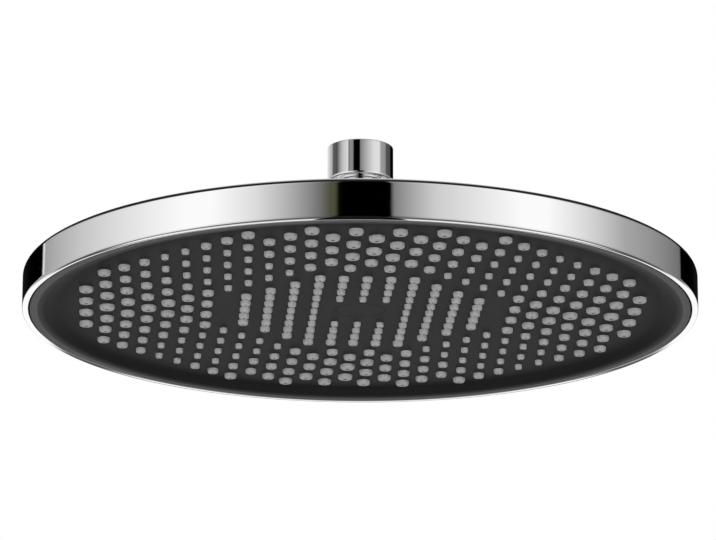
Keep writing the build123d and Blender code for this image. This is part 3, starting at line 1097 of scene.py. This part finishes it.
@dataclass
class Studio:
    """Camera, white surround, light tent, lamps, cards and floor."""

    picture_width: float = 716.0
    focal_pixels: float = 4072.0
    sensor_width: float = 36.0
    face_height: float = -68.389
    camera_back: float = 1510.6
    camera_down: float = 427.5
    camera_pitch: float = 16.463
    camera_yaw: float = -0.032
    camera_roll: float = 0.112
    clip_near: float = 10.0
    clip_far: float = 100000.0
    floor_drop: float = 3200.0
    floor_size: float = 9000.0
    floor_colour: str = "#f2f2f2"
    matt: float = 0.9
    # Tent of soft boxes and flags, far enough off to look the same from every point of the head
    tent_radius: float = 50000.0
    tent_sides: int = 48
    tent_rings: int = 24
    # Its ground, lighter behind, and a darker seam round it
    front_ground: str = "#606060"
    back_ground: Layer = Layer(-25.0, 20.0, WHITE)
    seam: Layer = Layer(-50.0, -40.0, "#505050")
    # Its walls by degrees to the right of the camera: a soft box on each side, a narrow black flag
    # in front and a wide one on each side behind, with a strip of light between
    walls: Layer = Layer(
        4.0,
        12.0,
        (
            (-174.0, "#e0e0e0"), (-172.0, "#000000"), (-136.0, "#000000"), (-135.0, "#f0f0f0"),
            (-134.0, "#a0a0a0"), (-60.0, "#ffffff"), (-50.0, "#ffffff"), (-35.0, "#e0e0e0"),
            (-15.0, "#808080"), (-10.0, "#505040"), (-8.0, "#505040"), (-7.0, "#000000"),
            (10.0, "#000000"), (11.0, "#808080"), (25.0, "#d0d0d0"), (55.0, "#ffffff"),
            (65.0, "#ffffff"), (100.0, "#a8a8a8"), (138.0, "#707070"), (139.0, "#000000"),
            (172.0, "#000000"), (174.0, "#e0e0e0"),
        ),
    )
    # The skirt under the walls, which is the same but white behind
    skirt: Layer = Layer(
        -32.0,
        -24.0,
        (
            (-145.0, "#ffffff"), (-135.0, "#a0a0a0"), (-60.0, "#f0f0f0"), (-35.0, "#d0d0d0"),
            (-12.0, "#606060"), (-7.0, "#000000"), (10.0, "#000000"), (12.0, "#707070"),
            (25.0, "#c0c0c0"), (60.0, "#f0f0f0"), (100.0, "#a0a0a0"), (135.0, "#707070"),
            (145.0, "#ffffff"),
        ),
    )
    # Its ceiling, which comes lower behind
    ceiling: Layer = Layer(32.0, 42.0, "#242424")
    ceiling_lean: float = 0.3
    # Square lamps under the head's sides, by degrees right of the camera
    lamp_directions: tuple[float, ...] = (-45.0, 45.0)
    lamp_drop: float = 12.0
    lamp_distance: float = 1600.0
    lamp_size: float = 1000.0
    lamp_power: float = 22.0
    # Sleeve of soft boxes and flags close round the nut, by degrees right of the camera
    sleeve_radius: float = 16.0
    sleeve_foot: float = -13.8
    sleeve_top: float = 2.8
    sleeve_sides: int = 96
    sleeve_lights: Stops = (
        (-100.0, "#e0e0e0"), (-75.0, "#b0b0b0"), (-70.0, "#606060"), (-55.0, "#505050"),
        (-40.0, "#c0c0c0"), (-26.0, "#e0e0e0"), (-25.0, "#404040"), (-22.0, "#909090"),
        (-15.0, "#808080"), (-14.0, "#000000"), (-1.0, "#000000"), (0.0, "#808080"),
        (30.0, "#e0e0e0"), (44.0, "#e0e0e0"), (46.0, "#a0a0a0"), (60.0, "#909090"),
        (65.0, "#505050"), (80.0, "#505050"), (85.0, "#000000"), (120.0, "#000000"),
        (150.0, "#e0e0e0"),
    )
    # White card over the head, with a soft edge as a share of its size, and a black one under the near edge
    canopy: Card = Card(360.0, -160.0, 480.0, 150.0, "#d8d8d8")
    canopy_edge: float = 0.5
    canopy_fade: float = 0.3
    black_card: Card = Card(40.0, -300.0, -92.0, -108.389, "#0a0a0a")

    def set_camera(self) -> None:
        """Puts the camera at the photograph's place, under and in front of the face."""
        data = bpy.data.cameras.new("photo_camera")
        data.sensor_width = self.sensor_width
        data.lens = self.focal_pixels / self.picture_width * self.sensor_width
        data.clip_start, data.clip_end = self.clip_near * MM, self.clip_far * MM
        camera = bpy.data.objects.new("photo_camera", data)
        bpy.context.scene.collection.objects.link(camera)
        roll = math.radians(self.camera_roll)
        forward = direction_of(self.camera_yaw, self.camera_pitch)
        level = forward.cross(Vector((0, 0, 1))).normalized()
        right = level * math.cos(roll) + level.cross(forward) * math.sin(roll)
        turn_to = Matrix((right, right.cross(forward), -forward)).transposed()
        place = Vector((0, -self.camera_back, self.face_height - self.camera_down)) * MM
        camera.matrix_world = Matrix.Translation(place) @ turn_to.to_4x4()
        bpy.context.scene.camera = camera

    def ring_of_light(self, tree: Tree, direction: Socket, stops: Stops) -> Socket:
        """Adds a ramp of light round the upright axis.

        Args:
            tree: node tree of the world or of a material.
            direction: direction from the middle.
            stops: degrees right of the camera and colour.

        Returns:
            The colour socket.
        """
        split = add_node(tree, "SeparateXYZ", links={0: direction})
        front = add_node(tree, "Math", {"operation": "MULTIPLY", 1: -1.0}, {0: split.outputs["Y"]})
        links = {0: split.outputs["X"], 1: front.outputs[0]}
        azimuth = add_node(tree, "Math", {"operation": "ARCTAN2"}, links)
        full_turn: Settings = {"From Min": -math.pi, "From Max": math.pi}
        share = add_node(tree, "MapRange", full_turn, {"Value": azimuth.outputs[0]})
        ramp = add_node(tree, "ValToRGB", links={"Fac": share.outputs["Result"]})
        set_ramp(ramp.color_ramp, tuple((0.5 + degrees / 360, colour) for degrees, colour in stops))
        return ramp.outputs["Color"]

    def tent_light(self, tree: Tree, direction: Socket) -> Socket:
        """Lays the tent's ground, walls and ceiling over one another.

        Args:
            tree: node tree that takes the nodes.
            direction: socket with the unit vector towards the light.

        Returns:
            The socket with the light's colour.
        """
        split = add_node(tree, "SeparateXYZ", links={0: direction})
        elevation = add_node(tree, "Math", {"operation": "ARCSINE"}, {0: split.outputs["Z"]})
        behind = add_node(tree, "Math", {"operation": "ARCSINE"}, {0: split.outputs["Y"]})
        lean: Settings = {"operation": "MULTIPLY_ADD", 1: self.ceiling_lean}
        leaning = add_node(tree, "Math", lean, {0: behind.outputs[0], 2: elevation.outputs[0]})
        layers = (
            (self.back_ground, behind),
            (self.seam, elevation),
            (self.skirt, elevation),
            (self.walls, elevation),
            (self.ceiling, leaning),
        )
        under: Optional[Socket] = None
        for layer, angle in layers:
            fade: Settings = {"interpolation_type": "SMOOTHSTEP"}
            fade |= {"From Min": math.radians(layer.start), "From Max": math.radians(layer.end)}
            shown = add_node(tree, "MapRange", fade, {"Value": angle.outputs[0]})
            settings: Settings = {"data_type": "RGBA", FIRST: to_linear(self.front_ground)}
            links: Links = {0: shown.outputs["Result"]}
            if under is not None:
                links[FIRST] = under
            if isinstance(layer.light, str):
                settings[SECOND] = to_linear(layer.light)
            else:
                links[SECOND] = self.ring_of_light(tree, direction, layer.light)
            under = add_node(tree, "Mix", settings, links).outputs[MIXED]
        return under

    def set_world(self) -> None:
        """Makes the surround: white to the camera and in reflections, the tent's light elsewhere."""
        world = bpy.data.worlds.new("white_surround")
        bpy.context.scene.world = world
        world.use_nodes = True
        tree = world.node_tree
        coordinates = add_node(tree, "TexCoord")
        colour = self.tent_light(tree, coordinates.outputs["Generated"])
        path = add_node(tree, "LightPath")
        seen = path.outputs["Is Camera Ray"]
        for ray in ("Is Glossy Ray", "Is Transmission Ray"):
            links = {0: seen, 1: path.outputs[ray]}
            seen = add_node(tree, "Math", {"operation": "MAXIMUM"}, links).outputs[0]
        white: Settings = {"data_type": "RGBA", SECOND: to_linear(WHITE)}
        shown = add_node(tree, "Mix", white, {0: seen, FIRST: colour})
        tree.links.new(shown.outputs[MIXED], tree.nodes["Background"].inputs["Color"])

    def set_floor(self) -> None:
        """Lays a pale floor far under the head, white to the camera."""
        deselect_all()
        bpy.ops.mesh.primitive_plane_add(size=self.floor_size * MM, location=(0, 0, -self.floor_drop * MM))
        floor = bpy.context.object
        floor.name = "studio_floor"
        material = bpy.data.materials.new("pale_floor")
        material.use_nodes = True
        tree = material.node_tree
        shader = tree.nodes["Principled BSDF"]
        shader.inputs["Base Color"].default_value = to_linear(self.floor_colour)
        shader.inputs["Roughness"].default_value = self.matt
        path = add_node(tree, "LightPath")
        glow = add_node(tree, "Emission")
        self.show_mix(tree, path.outputs["Is Camera Ray"], shader, glow)
        floor.data.materials.append(material)
        floor.visible_glossy = False
        floor.visible_diffuse = False

    def set_lamps(self) -> None:
        """Hangs the square lamps, which light the nozzles from low down at both sides."""
        for degrees in self.lamp_directions:
            data = bpy.data.lights.new("soft_box", "AREA")
            data.shape = "SQUARE"
            data.size = self.lamp_size * MM
            data.energy = self.lamp_power
            lamp = bpy.data.objects.new("soft_box", data)
            bpy.context.scene.collection.objects.link(lamp)
            away = direction_of(180.0 - degrees, -self.lamp_drop)
            lamp.location = Vector((0, 0, self.face_height * MM)) + away * self.lamp_distance * MM
            lamp.rotation_euler = (-away).to_track_quat("-Z", "Y").to_euler()
            lamp.visible_camera = False
            lamp.visible_glossy = False

    def show_mix(self, tree: Tree, share: Socket, first: Node, second: Node) -> None:
        """Shows a mix of two shaders.

        Args:
            tree: node tree of the material.
            share: share of the second shader.
            first: node of the first shader.
            second: node of the second shader.
        """
        links = {0: share, 1: first.outputs[0], 2: second.outputs[0]}
        shown = add_node(tree, "MixShader", links=links)
        tree.links.new(shown.outputs["Shader"], tree.nodes["Material Output"].inputs["Surface"])

    def stage_card(self, name: str, material_name: str) -> Tree:
        """Names the card just added and leaves it to the chrome alone.

        Args:
            name: name of the card.
            material_name: name of its new material.

        Returns:
            The material's node tree.
        """
        card = bpy.context.object
        card.name = name
        card.visible_camera = card.visible_diffuse = card.visible_shadow = False
        material = bpy.data.materials.new(material_name)
        material.use_nodes = True
        card.data.materials.append(material)
        return material.node_tree

    def lay_card(self, card: Card, name: str, material_name: str) -> Tree:
        """Adds a level card.

        Args:
            card: its sizes.
            name: its name.
            material_name: name of its new material.

        Returns:
            The material's node tree.
        """
        deselect_all()
        middle = Vector((0, (card.near + card.far) / 2, card.height))
        bpy.ops.mesh.primitive_plane_add(size=1.0, location=middle * MM)
        bpy.context.object.scale = Vector((card.width, card.far - card.near, 1.0)) * MM
        return self.stage_card(name, material_name)

    def set_tent(self) -> None:
        """Stands the light tent round everything, as the soft boxes and flags that the chrome mirrors."""
        deselect_all()
        bpy.ops.mesh.primitive_uv_sphere_add(
            segments=self.tent_sides, ring_count=self.tent_rings, radius=self.tent_radius * MM
        )
        tree = self.stage_card("light_tent", "lit_tent_cloth")
        coordinates = add_node(tree, "TexCoord")
        links = {0: coordinates.outputs["Object"]}
        direction = add_node(tree, "VectorMath", {"operation": "NORMALIZE"}, links)
        colour = self.tent_light(tree, direction.outputs["Vector"])
        glow = add_node(tree, "Emission", links={"Color": colour})
        tree.links.new(glow.outputs["Emission"], tree.nodes["Material Output"].inputs["Surface"])

    def set_sleeve(self) -> None:
        """Stands the sleeve of soft boxes and flags round the nut, clear from outside."""
        deselect_all()
        height = self.sleeve_top - self.sleeve_foot
        bpy.ops.mesh.primitive_cylinder_add(
            vertices=self.sleeve_sides,
            radius=self.sleeve_radius * MM,
            depth=height * MM,
            end_fill_type="NOTHING",
            location=(0, 0, (self.sleeve_foot + height / 2) * MM),
        )
        tree = self.stage_card("nut_soft_boxes", "lit_diffuser")
        coordinates = add_node(tree, "TexCoord")
        colour = self.ring_of_light(tree, coordinates.outputs["Object"], self.sleeve_lights)
        glow = add_node(tree, "Emission", links={"Color": colour})
        clear = add_node(tree, "BsdfTransparent")
        side = add_node(tree, "NewGeometry")
        self.show_mix(tree, side.outputs["Backfacing"], clear, glow)

    def set_canopy(self) -> None:
        """Hangs the white card that lights the dome from above."""
        tree = self.lay_card(self.canopy, "white_canopy", "lit_paper")
        glow = add_node(tree, "Emission", {"Color": to_linear(self.canopy.colour)})
        clear = add_node(tree, "BsdfTransparent")
        coordinates = add_node(tree, "TexCoord")
        reach = add_node(tree, "VectorMath", {"operation": "LENGTH"}, {0: coordinates.outputs["Object"]})
        edge: Settings = {"interpolation_type": "SMOOTHSTEP"}
        edge |= {"From Min": self.canopy_edge - self.canopy_fade, "From Max": self.canopy_edge}
        fade = add_node(tree, "MapRange", edge, {"Value": reach.outputs["Value"]})
        self.show_mix(tree, fade.outputs["Result"], glow, clear)

    def set_card(self) -> None:
        """Hangs the black card that breaks the bright line along the lip."""
        shader = self.lay_card(self.black_card, "black_card", "black_paper").nodes["Principled BSDF"]
        shader.inputs["Base Color"].default_value = to_linear(self.black_card.colour)
        shader.inputs["Roughness"].default_value = self.matt

    def build(self) -> None:
        """Sets the camera, the world, the lamps, the cards, the floor and the plain view transform."""
        self.set_camera()
        self.set_world()
        self.set_lamps()
        self.set_tent()
        self.set_sleeve()
        self.set_canopy()
        self.set_card()
        self.set_floor()
        bpy.context.scene.view_settings.view_transform = "Standard"
        log.info("studio set")


def main() -> None:
    """Builds the studio and every piece in order."""
    logging.basicConfig(level=logging.INFO, format="%(name)s: %(message)s")
    Studio().build()
    head = (Shell(), FacePlate(), SprayField())
    joint = (UnionNut(), BallTail(), InletStack(), BallSocket())
    for assembly in (*head, *joint, InnerPieces()):
        assembly.dress()


if __name__ == "__main__":
    main()
